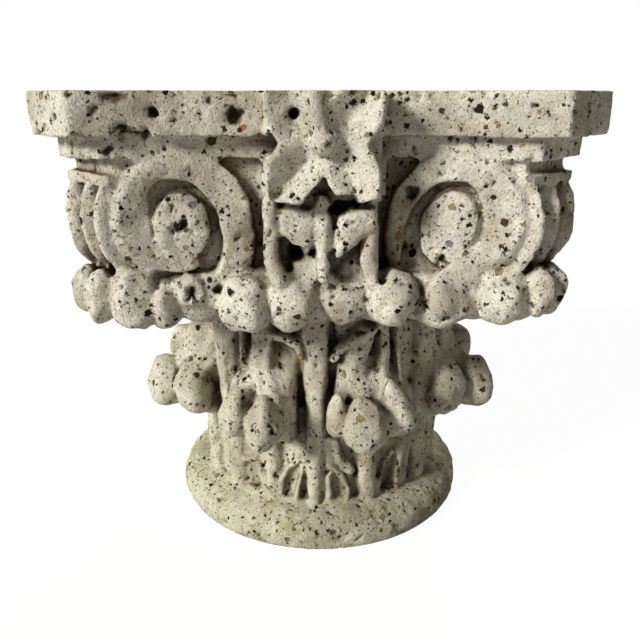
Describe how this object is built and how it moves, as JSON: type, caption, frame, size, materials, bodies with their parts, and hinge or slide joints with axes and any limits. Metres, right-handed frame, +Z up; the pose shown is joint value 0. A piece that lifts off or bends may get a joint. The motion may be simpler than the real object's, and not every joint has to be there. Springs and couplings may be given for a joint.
{
  "type": "corinthian capital",
  "caption": "Carved stone column capital: round base roll, bell with two tiers of curling leaves, corner scrolls and a concave-sided abacus with a flower on each face.",
  "frame": {"origin": "centre of the underside of the base roll", "axes": "+Z up through the abacus, -Y out of the front face, +X to the front face's right"},
  "size_m": [0.3956, 0.3956, 0.37],
  "materials": {
    "cast_stone": "rough, pitted, unpolished"
  },
  "bodies": {
    "root": {"capital": "cast_stone"}
  },
  "joints": []
}
